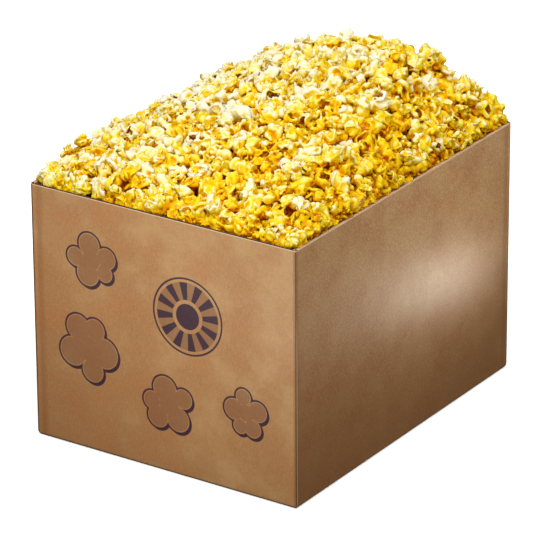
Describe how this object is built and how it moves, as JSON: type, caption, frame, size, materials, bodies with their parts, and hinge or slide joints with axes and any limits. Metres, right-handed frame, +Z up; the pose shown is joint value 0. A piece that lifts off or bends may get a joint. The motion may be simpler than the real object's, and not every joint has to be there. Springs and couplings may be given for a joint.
{
  "type": "box of popcorn",
  "caption": "Open corrugated cardboard box with a double bottom, heaped above its rim with buttered popcorn; stands on its flat base.",
  "frame": {"origin": "middle of the box's underside", "axes": "+Z up, -Y out of the front panel, +X to the right along the front panel, the box's long side runs along Y"},
  "size_m": [0.345, 0.438, 0.4067],
  "materials": {
    "kraft_board": "satin",
    "buttered_popcorn": "satin"
  },
  "bodies": {
    "root": {"box": "kraft_board", "popcorn": "buttered_popcorn"}
  },
  "joints": []
}
